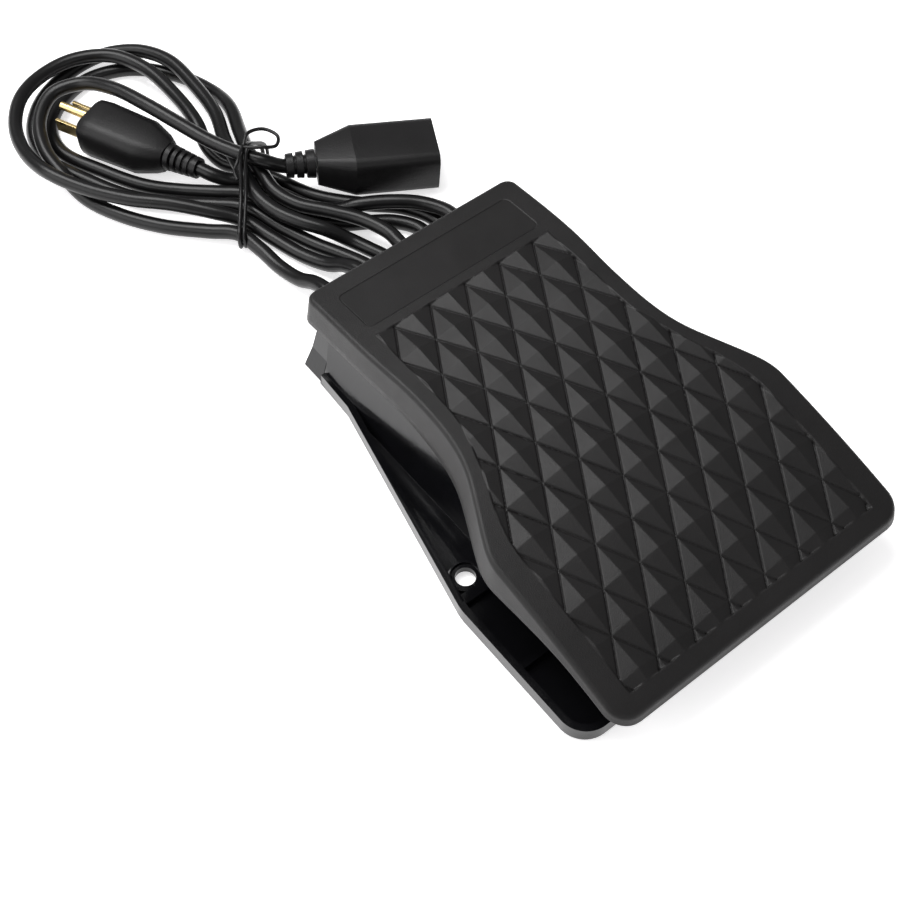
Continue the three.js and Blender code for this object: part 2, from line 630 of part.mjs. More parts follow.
// ---- rear cover ----
function rearCoverBlock(frontY, rearY, inset, bottomZ, topZ) {
  const rings = [bottomZ, 12, topZ].map((z) => {
    const halfWidth = housingHalfWidth(z) - REAR_COVER_INSET - inset;
    return [
      { x: halfWidth, y: frontY, z: z },
      { x: halfWidth, y: rearY - REAR_COVER_LEAN * z, z: z },
    ];
  });
  return pairedSolid(rings);
}

function makeRearCover() {
  const outer = rearCoverBlock(REAR_COVER_FRONT_Y, REAR_COVER_REAR_Y, 0, FOOT_HEIGHT, REAR_COVER_TOP);
  const inner = rearCoverBlock(
    REAR_COVER_FRONT_Y - 2, REAR_COVER_REAR_Y - HOUSING_WALL, HOUSING_WALL,
    FLOOR_PLATE_TOP, REAR_COVER_TOP + 4,
  );
  let solid = outer.subtract(inner);
  [PLUG_CORD_EXIT_X, SOCKET_CORD_EXIT_X].forEach((x) => {
    solid = solid.subtract(cylinderY(x, 90, 112, CORD_EXIT_Z, 5.3, 5.3));
  });
  [-1, 1].forEach((side) => {
    solid = solid.subtract(cylinderZ(side * 42, 96, FOOT_HEIGHT - 1, FLOOR_PLATE_TOP + 3, 1.8, 20));
  });
  return solid;
}

function makeRearCoverScrew(side) {
  const head = cylinderZ(side * 42, 96, FLOOR_PLATE_TOP + GAP, FLOOR_PLATE_TOP + 2.3, 3, 20);
  const shank = cylinderZ(side * 42, 96, FOOT_HEIGHT + 0.2, FLOOR_PLATE_TOP + 1, 1.4, 16);
  const slot = box(side * 42 - 3.5, side * 42 + 3.5, 95.6, 96.4, FLOOR_PLATE_TOP + 1.5, FLOOR_PLATE_TOP + 4);
  return head.add(shank).subtract(slot);
}

function makeCordGland(x) {
  const collarRear = REAR_COVER_REAR_Y - REAR_COVER_LEAN * CORD_EXIT_Z;
  const inside = cylinderY(x, collarRear - 8.5, collarRear - HOUSING_WALL - 2.4, CORD_EXIT_Z, 7, 7);
  const neck = cylinderY(x, collarRear - 6, collarRear + 3, CORD_EXIT_Z, 5, 5);
  const sleeve = cylinderY(x, collarRear + 1.9, collarRear + 18, CORD_EXIT_Z, 6, 4.4);
  const boreRadius = CORD_RADIUS + GAP;
  const bore = cylinderY(x, collarRear - 20, collarRear + 30, CORD_EXIT_Z, boreRadius, boreRadius);
  let solid = inside.add(neck).add(sleeve);
  for (let i = 0; i < 3; i += 1) {
    const y = collarRear + 5 + i * 4.2;
    const ring = cylinderY(x, y, y + 1.3, CORD_EXIT_Z, 8, 8);
    const core = cylinderY(x, y - 1, y + 3, CORD_EXIT_Z, 4.3, 4.3);
    solid = solid.subtract(ring.subtract(core));
  }
  return solid.subtract(bore);
}

// ---- feet, pin, clips, springs ----
function makeFoot(x, y) {
  return cylinderZ(x, y, 0, FOOT_HEIGHT - 0.02, 6, 24);
}

function makeHingePin() {
  return cylinderX(-HINGE_PIN_HALF_LENGTH, HINGE_PIN_HALF_LENGTH, HINGE_Y, HINGE_Z, HINGE_PIN_RADIUS);
}

function makeHingeClip(side) {
  const x0 = side * 42 - 0.35;
  const ring = cylinderX(x0, x0 + 0.7, HINGE_Y, HINGE_Z, 4, 20);
  const hole = cylinderX(x0 - 1, x0 + 2, HINGE_Y, HINGE_Z, HINGE_PIN_RADIUS + GAP);
  const mouth = box(x0 - 1, x0 + 2, HINGE_Y - 1.4, HINGE_Y + 1.4, HINGE_Z - 6, HINGE_Z);
  return ring.subtract(hole).subtract(mouth);
}

class HelixCurve extends THREE.Curve {
  constructor(x, y, z0, z1, radius, turns) {
    super();
    this.centre = new THREE.Vector3(x, y, z0);
    this.height = z1 - z0;
    this.radius = radius;
    this.turns = turns;
  }

  getPoint(t, target = new THREE.Vector3()) {
    const angle = t * this.turns * Math.PI * 2;
    target.set(Math.cos(angle) * this.radius, Math.sin(angle) * this.radius, t * this.height);
    return target.add(this.centre);
  }
}

function tube(curve, steps, radius, sides) {
  const shape = new THREE.Shape();
  shape.absarc(0, 0, radius, 0, Math.PI * 2, false);
  const options = { steps: steps, extrudePath: curve, curveSegments: sides / 2, bevelEnabled: false };
  return toSolid(new THREE.ExtrudeGeometry(shape, options));
}

function makeSpring(side) {
  const z0 = SPRING_BOTTOM + SPRING_WIRE_RADIUS;
  const z1 = SPRING_TOP - SPRING_WIRE_RADIUS;
  const helix = new HelixCurve(side * SPRING_X, SPRING_Y, z0, z1, SPRING_RADIUS, SPRING_TURNS);
  return tube(helix, SPRING_TURNS * 12, SPRING_WIRE_RADIUS, 6);
}

function makeStopPad(side) {
  return cylinderZ(side * 40, -76, FLOOR_PLATE_TOP + 0.02, FLOOR_PLATE_TOP + 5, 6, 24);
}

// ---- micro switch ----
function leverTopZ(y) {
  return SWITCH_TOP + 1.2 + (LEVER_HINGE_Y - y) * LEVER_ANGLE + 0.6;
}

function makeSwitchBody() {
  const y0 = SWITCH_Y - SWITCH_LENGTH / 2;
  const y1 = SWITCH_Y + SWITCH_LENGTH / 2;
  let solid = box(-SWITCH_WIDTH / 2, SWITCH_WIDTH / 2, y0, y1, SWITCH_BOTTOM, SWITCH_TOP);
  const buttonHole = box(-2, 2, SWITCH_Y + 3, SWITCH_Y + 7, SWITCH_TOP - 3, SWITCH_TOP + 1);
  solid = solid.subtract(buttonHole);
  [-1, 1].forEach((end) => {
    const bore = cylinderX(-8, 8, SWITCH_Y + end * 11.1, SWITCH_BOTTOM + 3, 1.7, 16);
    solid = solid.subtract(bore);
  });
  return solid;
}

function makeSwitchButton() {
  return box(-1.6, 1.6, SWITCH_Y + 3.4, SWITCH_Y + 6.6, SWITCH_TOP - 1.2, SWITCH_TOP + 1.4);
}

function makeSwitchLever() {
  const length = LEVER_HINGE_Y - LEVER_TIP_Y;
  const geometry = new THREE.BoxGeometry(4.6, length, 0.6);
  geometry.translate(0, -length / 2, 0.3);
  geometry.rotateX(-LEVER_ANGLE);
  geometry.translate(0, LEVER_HINGE_Y, SWITCH_TOP + 1.2);
  return toSolid(geometry);
}

function makeSwitchTerminal(y) {
  const x = -SWITCH_WIDTH / 2 - 0.02;
  return box(x - TERMINAL_LENGTH, x, y - 2.4, y + 2.4, TERMINAL_Z - 0.4, TERMINAL_Z + 0.4);
}

function makeSwitchScrew(end) {
  const y = SWITCH_Y + end * 11.1;
  const z = SWITCH_BOTTOM + 3;
  const shank = cylinderX(-SWITCH_WIDTH / 2 - 1, SWITCH_WIDTH / 2, y, z, 1.3, 16);
  const head = cylinderX(-SWITCH_WIDTH / 2 - 2.2, -SWITCH_WIDTH / 2 - GAP, y, z, 2.6, 20);
  return shank.add(head);
}

// ---- cords and what is on them ----
function route(points) {
  return new THREE.CatmullRomCurve3(points.map((p) => new THREE.Vector3(...p)), false, 'centripetal');
}

function makeCord(points, sides) {
  return tube(route(points), points.length * 3, CORD_RADIUS, sides);
}

function makeWire(points) {
  return tube(route(points), points.length * 5, WIRE_RADIUS, 6);
}

// Turns a solid built along +Y, level with the origin, so that it starts at a point and runs along a way.
function turnTo(solid, start, direction) {
  const along = new THREE.Vector3(...direction).normalize();
  const side = new THREE.Vector3().crossVectors(along, new THREE.Vector3(0, 0, 1)).normalize();
  const up = new THREE.Vector3().crossVectors(side, along);
  const matrix = new THREE.Matrix4().makeBasis(side, along, up);
  matrix.setPosition(...start);
  return solid.transform(matrix.elements);
}

function roundedSection(halfWidth, halfHeight, corner) {
  const points = [];
  const quarters = [[1, 1, 0], [-1, 1, 1], [-1, -1, 2], [1, -1, 3]];
  quarters.forEach(([sx, sz, quarter]) => {
    for (let i = 0; i <= 3; i += 1) {
      const angle = (Math.PI / 2) * (quarter + i / 3);
      const x = sx * (halfWidth - corner) + corner * Math.cos(angle);
      const z = sz * (halfHeight - corner) + corner * Math.sin(angle);
      points.push([x, z]);
    }
  });
  return points;
}

// A solid along +Y through rounded sections: [distance, half width, half height, corner].
function sectionSolid(sections) {
  const positions = [];
  const index = [];
  const rings = sections.map((section) => roundedSection(section[1], section[2], section[3]));
  const count = rings[0].length;
  rings.forEach((ring, r) => ring.forEach(([x, z]) => positions.push(x, sections[r][0], z)));
  for (let r = 0; r + 1 < rings.length; r += 1) {
    for (let i = 0; i < count; i += 1) {
      const a = r * count + i;
      const b = r * count + ((i + 1) % count);
      index.push(a, a + count, b);
      index.push(b, a + count, b + count);
    }
  }
  const first = 0;
  const last = (rings.length - 1) * count;
  for (let i = 1; i + 1 < count; i += 1) {
    index.push(first, first + i, first + i + 1);
    index.push(last, last + i + 1, last + i);
  }
  const mesh = new wasm.Mesh({
    numProp: 3,
    vertProperties: new Float32Array(positions),
    triVerts: new Uint32Array(index),
  });
  return new wasm.Manifold(mesh);
}

function makePlugBody() {
  let solid = sectionSolid(PLUG_SECTIONS);
  solid = solid.subtract(cylinderY(0, -1, 1.2, 0, CORD_RADIUS + GAP, CORD_RADIUS + GAP));
  return turnTo(solid, PLUG_START, PLUG_DIRECTION);
}

function makePlugBlade(side) {
  const y0 = PLUG_LENGTH + 0.02;
  const x = (side * BLADE_SPACING) / 2;
  const blade = box(x - 0.75, x + 0.75, y0, y0 + BLADE_LENGTH, -3.15, 3.15);
  return turnTo(blade, PLUG_START, PLUG_DIRECTION);
}

function makePlugPin() {
  const y0 = PLUG_LENGTH + 0.02;
  const pin = cylinderY(0, y0, y0 + BLADE_LENGTH + 1, GROUND_PIN_RISE, 2.2, 1.9);
  return turnTo(pin, PLUG_START, PLUG_DIRECTION);
}

// A tapered strain relief along -Y from the origin with slots cut round it.
function makeRelief(length, thick, thin, slots) {
  let solid = cylinderY(0, -length, -GAP, 0, thin, thick);
  for (let i = 0; i < slots; i += 1) {
    const y = -length + (length / (slots + 1)) * (i + 0.75);
    const ring = cylinderY(0, y, y + 1.3, 0, thick + 2, thick + 2);
    solid = solid.subtract(ring.subtract(cylinderY(0, y - 1, y + 3, 0, CORD_RADIUS + 1, CORD_RADIUS + 1)));
  }
  return solid.subtract(cylinderY(0, -length - 2, 2, 0, CORD_RADIUS + GAP, CORD_RADIUS + GAP));
}

function makePlugRelief() {
  return turnTo(makeRelief(PLUG_RELIEF_LENGTH, 6.2, 4.7, 4), PLUG_START, PLUG_DIRECTION);
}

function makeSocketRelief() {
  const relief = makeRelief(SOCKET_RELIEF_LENGTH - 1, 6.4, 5.2, 2).translate(0, SOCKET_RELIEF_LENGTH, 0);
  return turnTo(relief, SOCKET_START, SOCKET_DIRECTION);
}

function makeSocketBody() {
  const face = SOCKET_SECTIONS[SOCKET_SECTIONS.length - 1][0];
  let solid = sectionSolid(SOCKET_SECTIONS);
  [-1, 1].forEach((side) => {
    const x = (side * BLADE_SPACING) / 2;
    solid = solid.subtract(box(x - 1.3, x + 1.3, face - SLOT_DEPTH, face + 1, -6.5, 1.5));
  });
  const groundSlot = cylinderY(
    0, face - SLOT_DEPTH, face + 1, GROUND_SLOT_RISE, GROUND_SLOT_RADIUS, GROUND_SLOT_RADIUS,
  );
  return turnTo(solid.subtract(groundSlot), SOCKET_START, SOCKET_DIRECTION);
}

function makeSocketContact(side) {
  const y0 = SOCKET_SECTIONS[SOCKET_SECTIONS.length - 1][0] - SLOT_DEPTH + GAP;
  const x = (side * BLADE_SPACING) / 2 + side * 0.7;
  return turnTo(box(x - 0.25, x + 0.25, y0, y0 + 9, -5.5, 0.5), SOCKET_START, SOCKET_DIRECTION);
}

function makeSocketGroundContact() {
  const y0 = SOCKET_SECTIONS[SOCKET_SECTIONS.length - 1][0] - SLOT_DEPTH + GAP;
  const ring = cylinderY(0, y0, y0 + 8, 5, 2.3, 2.3).subtract(cylinderY(0, y0 - 1, y0 + 9, 5, 1.95, 1.95));
  return turnTo(ring, SOCKET_START, SOCKET_DIRECTION);
}

function makeCordTie() {
  const loop = TIE_LOOP.map(([across, along, z]) => {
    const x = TIE_CENTRE[0] + TIE_ACROSS[0] * across + TIE_ALONG[0] * along;
    const y = TIE_CENTRE[1] + TIE_ACROSS[1] * across + TIE_ALONG[1] * along;
    return new THREE.Vector3(x, y, z);
  });
  const closed = new THREE.CatmullRomCurve3(loop, true, 'centripetal');
  const ring = toSolid(new THREE.TubeGeometry(closed, 72, TIE_RADIUS, 8, true));
  return ring.add(tube(route(BOW_LOOP), 36, TIE_RADIUS * 0.8, 6));
}

// ---- cord clamp and splices ----
function makeCordClamp() {
  const low = CORD_EXIT_Z + CORD_RADIUS + GAP;
  let bar = box(CLAMP_LEFT_X, CLAMP_RIGHT_X, CLAMP_FRONT_Y, CLAMP_REAR_Y, low, low + 2.4);
  CLAMP_SCREW_X.forEach((x) => {
    bar = bar.subtract(cylinderZ(x, CLAMP_SCREW_Y, low - 1, low + 4, 1.7, 16));
  });
  return bar;
}

function makeClampScrew(x) {
  const seat = CORD_EXIT_Z + CORD_RADIUS + GAP + 2.4 + 0.02;
  const shank = cylinderZ(x, CLAMP_SCREW_Y, FLOOR_PLATE_TOP + 1.4, seat + 0.5, 1.4, 16);
  return shank.add(cylinderZ(x, CLAMP_SCREW_Y, seat, seat + 1.8, 2.8, 20));
}

function makeSplice(x) {
  return cylinderY(x, SPLICE_OPEN_Y - 12, SPLICE_OPEN_Y, 6.7, 2.2, 2.9, 16);
}

// ---- assembly ----
const pedal = new THREE.Group();
pedal.name = 'sewing_machine_pedal';
function place(name, solid, material) {
  pedal.add(makePiece(name, solid, material));
}

place('base_tray', makeBaseTray(), trayPlastic);
place('rear_cover', makeRearCover(), trayPlastic);
place('rear_cover_screw_left', makeRearCoverScrew(-1), steel);
place('rear_cover_screw_right', makeRearCoverScrew(1), steel);
place('cord_gland_plug', makeCordGland(PLUG_CORD_EXIT_X), cordRubber);
place('cord_gland_socket', makeCordGland(SOCKET_CORD_EXIT_X), cordRubber);
place('foot_front_left', makeFoot(-62, -80), footRubber);
place('foot_front_right', makeFoot(62, -80), footRubber);
place('foot_rear_left', makeFoot(-42, 78), footRubber);
place('foot_rear_right', makeFoot(42, 78), footRubber);
place('tread', makeTread(), treadPlastic);
place('label_plate', makeLabelPlate(), labelPlastic);
place('hinge_pin', makeHingePin(), steel);
place('hinge_clip_left', makeHingeClip(-1), steel);
place('hinge_clip_right', makeHingeClip(1), steel);
place('return_spring_left', makeSpring(-1), steel);
place('return_spring_right', makeSpring(1), steel);
place('stop_pad_left', makeStopPad(-1), footRubber);
place('stop_pad_right', makeStopPad(1), footRubber);
place('switch_body', makeSwitchBody(), switchPlastic);
place('switch_button', makeSwitchButton(), buttonPlastic);
place('switch_lever', makeSwitchLever(), steel);
place('switch_screw_front', makeSwitchScrew(-1), steel);
place('switch_screw_rear', makeSwitchScrew(1), steel);


['common', 'normally_open', 'normally_closed'].forEach((contact, i) => {
  place('switch_terminal_' + contact, makeSwitchTerminal(TERMINAL_Y[i]), brass);
});
place('cord_clamp', makeCordClamp(), switchPlastic);
place('cord_clamp_screw_left', makeClampScrew(CLAMP_SCREW_X[0]), steel);
place('cord_clamp_screw_right', makeClampScrew(CLAMP_SCREW_X[1]), steel);
place('splice_neutral', makeSplice(SPLICE_X[0]), spliceNylon);
place('splice_ground', makeSplice(SPLICE_X[1]), spliceNylon);
Object.entries(WIRE_ROUTES).forEach(([name, points]) => {
  const colours = { live: wireBlack, neutral: wireWhite, ground: wireGreen };
  place(name, makeWire(points), colours[name.split('_')[1]]);
});
place('cord_plug', makeCord(PLUG_CORD_ROUTE, 8), cordRubber);
place('cord_socket', makeCord(SOCKET_CORD_ROUTE, 8), cordRubber);
place('cord_tie', makeCordTie(), cordRubber);
place('plug_body', makePlugBody(), plugRubber);
place('plug_relief', makePlugRelief(), plugRubber);
place('plug_blade_live', makePlugBlade(-1), brass);
place('plug_blade_neutral', makePlugBlade(1), brass);
place('plug_pin_ground', makePlugPin(), brass);
place('socket_body', makeSocketBody(), plugRubber);
place('socket_relief', makeSocketRelief(), plugRubber);
place('socket_contact_live', makeSocketContact(-1), brass);
place('socket_contact_neutral', makeSocketContact(1), brass);
place('socket_contact_ground', makeSocketGroundContact(), brass);

export default pedal;
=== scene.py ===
import math
import bmesh
import bpy
from mathutils import Matrix, Vector


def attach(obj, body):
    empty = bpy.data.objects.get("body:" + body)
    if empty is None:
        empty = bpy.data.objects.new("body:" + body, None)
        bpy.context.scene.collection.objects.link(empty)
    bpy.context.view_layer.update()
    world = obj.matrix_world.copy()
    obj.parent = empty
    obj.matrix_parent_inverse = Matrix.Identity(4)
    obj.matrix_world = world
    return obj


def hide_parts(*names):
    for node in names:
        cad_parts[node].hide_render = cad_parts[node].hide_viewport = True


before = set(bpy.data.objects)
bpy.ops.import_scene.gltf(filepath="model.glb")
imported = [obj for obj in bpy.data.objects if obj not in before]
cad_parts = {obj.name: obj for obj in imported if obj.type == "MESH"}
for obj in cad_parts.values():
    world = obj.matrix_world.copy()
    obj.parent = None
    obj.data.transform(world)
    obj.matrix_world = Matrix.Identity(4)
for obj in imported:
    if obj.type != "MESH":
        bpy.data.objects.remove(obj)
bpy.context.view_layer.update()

# ---- driving dimensions, in metres ----
MM = 0.001
ARCH_RADIUS = 518.3 * MM
ARCH_TOP_Y = 45.8 * MM
ARCH_TOP_Z = 47.7 * MM
DIAMOND_WIDTH = 17 * MM
DIAMOND_LENGTH = 28.744 * MM
DIAMOND_ZERO_Y = -77 * MM
DIAMOND_RISE = 1.8 * MM
GROOVE_DEPTH = 0.7 * MM
GROOVE_HALF_WIDTH = 0.42 * MM
FIELD_SINK = 0.85 * MM
FIELD_FRONT_Y = -95.6 * MM
FIELD_REAR_Y = 66.4 * MM
EDGE_ROUND = 1.9 * MM
CORD_DIAMETER = 6.4 * MM
DIELECTRIC_SHINE = 0.3
CAMERA_PLACE = (-0.2414, -0.2289, 0.4878)
CAMERA_FORWARD = (0.3527, 0.4437, -0.8238)
CAMERA_RIGHT = (0.783, -0.622, 0)
CAMERA_LENS = 60.43

TREAD_FRONT_Y = -101 * MM
TREAD_REAR_Y = 99 * MM
FRONT_CORNER = 7 * MM
REAR_CORNER = 3 * MM
FRONT_HALF_WIDTH = 67.2 * MM
# half width of the tread's top edge line along it: (y, half width, slope)
TREAD_WAIST = (
    (-38, 67.2, 0), (-27, 64.4, -0.48), (-5, 53.4, -0.46), (8, 49.2, -0.2),
    (32, 47.5, 0), (62, 49.1, 0.03), (96, 49.2, 0),
)
# half width of the diamond field along the tread
FIELD_WAIST = (
    (-42, 59.1, 0), (-28.5, 57.6, -0.25), (-15, 53.2, -0.43), (6.3, 45.4, -0.26),
    (23.5, 42.1, 0), (45, 42.2, 0), (66, 42.2, 0),
)
# depth of the skirt below the top edge line along the tread
SKIRT_DEPTH = (
    (-104, 4.5, 0), (-78, 5, 0.05), (-34, 13, 0.16), (2, 16.5, 0), (50, 13, -0.05), (104, 12.5, 0),
)
LABEL_HALF_WIDTH = 42 * MM
LABEL_FRONT_Y = 70.6 * MM
LABEL_REAR_Y = 91.8 * MM
LABEL_CORNER = 3 * MM
LABEL_SINK = 0.55 * MM
# cosine of the angle between a groove and the tread's length
GROOVE_SLANT = 0.86
FIELD_BLEND = 0.7 * MM
LABEL_BLEND = 0.6 * MM
SKIRT_FLARE = 0.12
SKIRT_WALL = 2.4 * MM
SKIRT_LIP = 0.4 * MM
SKIRT_INSIDE_DROP = 3.5 * MM
ROUND_STEPS = 6
SKIRT_STEPS = 4
FINE_ROWS = 720
FINE_COLUMNS = 440

# the cords where they pass through the housing
SHEATH_START_Y = 66 * MM
SHEATH_LENGTH = 19 * MM
CORD_EXIT_Y = 85 * MM
CORD_EXIT_Z = 12.5 * MM
PLUG_CORD_X = -11 * MM
SOCKET_CORD_X = -28 * MM
SHEATH_STEPS = 8
ROUTE_STEPS = 8

# the twist round the hank
TIE_CENTRE = (-0.022, 0.192, 0)
TIE_ACROSS = (-0.61, -0.79, 0)
TIE_ALONG = (0.79, -0.61, 0)
TIE_RADIUS = 0.9 * MM
TWIST_RADIUS = 0.8 * MM
TIE_STEPS = 10
SECOND_WRAP_SHIFT = 2.1
SECOND_WRAP_LIFT = 0.2 * MM

# how far the hidden inner faces of the tread stand back from its skin
INNER_DROP = 2.2 * MM
INNER_SIDE_REACH = 0.6 * MM
INNER_SIDE_SHIFT = 0.8 * MM
INNER_END_SHIFT = 1 * MM

BEVEL_SEGMENTS = 3
BEVEL_ANGLE = 35
SPLIT_ANGLE = 40


def along_knots(knots, position):
    """A cubic through knots given in millimetres, evaluated in metres."""
    p = position / MM
    if p <= knots[0][0]:
        return knots[0][1] * MM
    if p >= knots[-1][0]:
        return knots[-1][1] * MM
    index = 0
    while p > knots[index + 1][0]:
        index += 1
    x0, v0, s0 = knots[index]
    x1, v1, s1 = knots[index + 1]
    span = x1 - x0
    t = (p - x0) / span
    low = (2 * t**3 - 3 * t**2 + 1) * v0 + (t**3 - 2 * t**2 + t) * span * s0
    high = (3 * t**2 - 2 * t**3) * v1 + (t**3 - t**2) * span * s1
    return (low + high) * MM


def arch_z(y):
    """Height of the smooth arch at a place along the tread."""
    run = y - ARCH_TOP_Y
    return math.sqrt(ARCH_RADIUS**2 - run * run) - ARCH_RADIUS + ARCH_TOP_Z


def smooth_step(low, high, value):
    t = min(1, max(0, (value - low) / (high - low)))
    return t * t * (3 - 2 * t)


# ---- camera ----
def make_camera():
    data = bpy.data.cameras.new("camera")
    data.sensor_width = 36
    data.sensor_fit = "HORIZONTAL"
    data.lens = CAMERA_LENS
    data.clip_start = 0.01
    data.clip_end = 20
    camera = bpy.data.objects.new("camera", data)
    bpy.context.scene.collection.objects.link(camera)
    back = -Vector(CAMERA_FORWARD).normalized()
    right = Vector(CAMERA_RIGHT).normalized()
    up = back.cross(right).normalized()
    turn = Matrix((right, up, back)).transposed().to_4x4()
    camera.matrix_world = Matrix.Translation(CAMERA_PLACE) @ turn
    bpy.context.scene.camera = camera


# ---- materials ----
def new_material(name):
    material = bpy.data.materials.new(name)
    material.use_nodes = True
    return material, material.node_tree.nodes, material.node_tree.links


def textured(name, colour, roughness, grain_scale, grain_strength, metallic=0.0, spread=0.25, ior=1.5):
    """A surface with cloudy colour, uneven gloss, fine grain and faint wear."""
    material, nodes, links = new_material(name)
    shader = nodes["Principled BSDF"]
    shader.inputs["Metallic"].default_value = metallic
    shader.inputs["IOR"].default_value = ior
    shader.inputs["Specular IOR Level"].default_value = 0.5 if metallic else DIELECTRIC_SHINE
    place = nodes.new("ShaderNodeTexCoord")
    cloud = nodes.new("ShaderNodeTexNoise")
    cloud.inputs["Scale"].default_value = 38
    cloud.inputs["Detail"].default_value = 5
    links.new(place.outputs["Object"], cloud.inputs["Vector"])
    ramp = nodes.new("ShaderNodeValToRGB")
    ramp.color_ramp.elements[0].position = 0.3
    ramp.color_ramp.elements[1].position = 0.72
    ramp.color_ramp.elements[0].color = [c * (1 - spread) for c in colour] + [1]
    ramp.color_ramp.elements[1].color = [c * (1 + spread) for c in colour] + [1]
    links.new(cloud.outputs["Fac"], ramp.inputs["Fac"])
    links.new(ramp.outputs["Color"], shader.inputs["Base Color"])
    gloss = nodes.new("ShaderNodeMapRange")
    gloss.inputs["To Min"].default_value = max(0.02, roughness - 0.07)
    gloss.inputs["To Max"].default_value = min(1.0, roughness + 0.07)
    wear = nodes.new("ShaderNodeTexNoise")
    wear.inputs["Scale"].default_value = 160
    wear.inputs["Detail"].default_value = 4
    links.new(place.outputs["Object"], wear.inputs["Vector"])
    links.new(wear.outputs["Fac"], gloss.inputs["Value"])
    links.new(gloss.outputs["Result"], shader.inputs["Roughness"])
    grain = nodes.new("ShaderNodeTexNoise")
    grain.inputs["Scale"].default_value = grain_scale
    grain.inputs["Detail"].default_value = 3
    links.new(place.outputs["Object"], grain.inputs["Vector"])
    bump = nodes.new("ShaderNodeBump")
    bump.inputs["Strength"].default_value = grain_strength
    bump.inputs["Distance"].default_value = 0.0004
    links.new(grain.outputs["Fac"], bump.inputs["Height"])
    links.new(bump.outputs["Normal"], shader.inputs["Normal"])
    return material


MATERIALS = {
    "tread_plastic": textured("tread_plastic", (0.0085, 0.0078, 0.0080), 0.44, 2600, 0.3),
    "tray_plastic": textured("tray_plastic", (0.0035, 0.0035, 0.0042), 0.14, 900, 0.06),
    "label_plastic": textured("label_plastic", (0.0085, 0.0078, 0.0080), 0.42, 2400, 0.15),
    "cord_rubber": textured("cord_rubber", (0.0045, 0.0043, 0.0046), 0.3, 1100, 0.1),
    "plug_rubber": textured("plug_rubber", (0.006, 0.0056, 0.006), 0.42, 1500, 0.25),
    "foot_rubber": textured("foot_rubber", (0.008, 0.008, 0.008), 0.85, 1800, 0.5),
    "steel": textured("steel", (0.55, 0.56, 0.58), 0.3, 1200, 0.1, 1.0, 0.08),
    "brass": textured("brass", (0.72, 0.56, 0.27), 0.28, 1200, 0.1, 1.0, 0.1),
    "switch_plastic": textured("switch_plastic", (0.035, 0.038, 0.045), 0.4, 1300, 0.15),
    "button_plastic": textured("button_plastic", (0.5, 0.09, 0.06), 0.4, 1300, 0.15),
    "splice_nylon": textured("splice_nylon", (0.7, 0.67, 0.57), 0.45, 1300, 0.15),
    "wire_black": textured("wire_black", (0.02, 0.02, 0.02), 0.45, 1300, 0.12),
    "wire_white": textured("wire_white", (0.75, 0.73, 0.68), 0.45, 1300, 0.12),
    "wire_green": textured("wire_green", (0.05, 0.28, 0.1), 0.45, 1300, 0.12),
}


def dress(piece, slot, body="base"):
    """Gives a finished piece its material and its slot, and lets it ride on a body."""
    piece.data.materials.clear()
    piece.data.materials.append(MATERIALS[slot])
    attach(piece, body)
    return piece


def new_piece(name, points, faces, smooth=True):
    mesh = bpy.data.meshes.new(name)
    mesh.from_pydata([tuple(p) for p in points], [], faces)
    mesh.validate()
    work = bmesh.new()
    work.from_mesh(mesh)
    bmesh.ops.remove_doubles(work, verts=work.verts, dist=1e-6)
    bmesh.ops.recalc_face_normals(work, faces=work.faces)
    work.to_mesh(mesh)
    work.free()
    if smooth:
        mesh.shade_smooth()
    piece = bpy.data.objects.new(name, mesh)
    bpy.context.scene.collection.objects.link(piece)
    return piece


def add_bevel(piece, width):
    bevel = piece.modifiers.new("round", "BEVEL")
    bevel.width = width
    bevel.segments = BEVEL_SEGMENTS
    bevel.limit_method = "ANGLE"
    bevel.angle_limit = math.radians(BEVEL_ANGLE)
    bevel.harden_normals = True


def refined_node(node, slot, body, width):
    """A copy of a CAD node with its edges rounded and its flat facets joined, which stands for the node."""
    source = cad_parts[node]
    piece = bpy.data.objects.new(node + "_look", source.data.copy())
    bpy.context.scene.collection.objects.link(piece)
    mesh = piece.data
    work = bmesh.new()
    work.from_mesh(mesh)
    bmesh.ops.remove_doubles(work, verts=work.verts, dist=2e-6)
    bmesh.ops.dissolve_limit(work, angle_limit=math.radians(1.0), verts=work.verts, edges=work.edges)
    work.to_mesh(mesh)
    work.free()
    mesh.shade_smooth()
    mesh.set_sharp_from_angle(angle=math.radians(SPLIT_ANGLE))
    if width > 0:
        add_bevel(piece, width)
    dress(piece, slot, body)
    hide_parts(node)
    return piece


# ---- tread ----
def arc_length(y):
    """Length along the arch from the line where the diamonds are counted from."""
    start = math.asin((DIAMOND_ZERO_Y - ARCH_TOP_Y) / ARCH_RADIUS)
    return ARCH_RADIUS * (math.asin((y - ARCH_TOP_Y) / ARCH_RADIUS) - start)


def diamond_relief(x, y):
    """Height of the diamond pattern: low four-sided pyramids parted by narrow grooves."""
    u = x / DIAMOND_WIDTH
    v = arc_length(y) / DIAMOND_LENGTH
    a = u + v
    b = u - v
    da = abs(a - round(a))
    db = abs(b - round(b))
    nearest = min(da, db)
    gap = nearest * DIAMOND_WIDTH * GROOVE_SLANT
    if gap < GROOVE_HALF_WIDTH:
        return -GROOVE_DEPTH * (1 - (gap / GROOVE_HALF_WIDTH) ** 2)
    return DIAMOND_RISE * (gap - GROOVE_HALF_WIDTH) / (DIAMOND_WIDTH * GROOVE_SLANT / 2)


def field_margin(x, y):
    """Distance inside the diamond field, negative outside it."""
    side = along_knots(FIELD_WAIST, y) - abs(x)
    return min(side, y - FIELD_FRONT_Y, FIELD_REAR_Y - y)


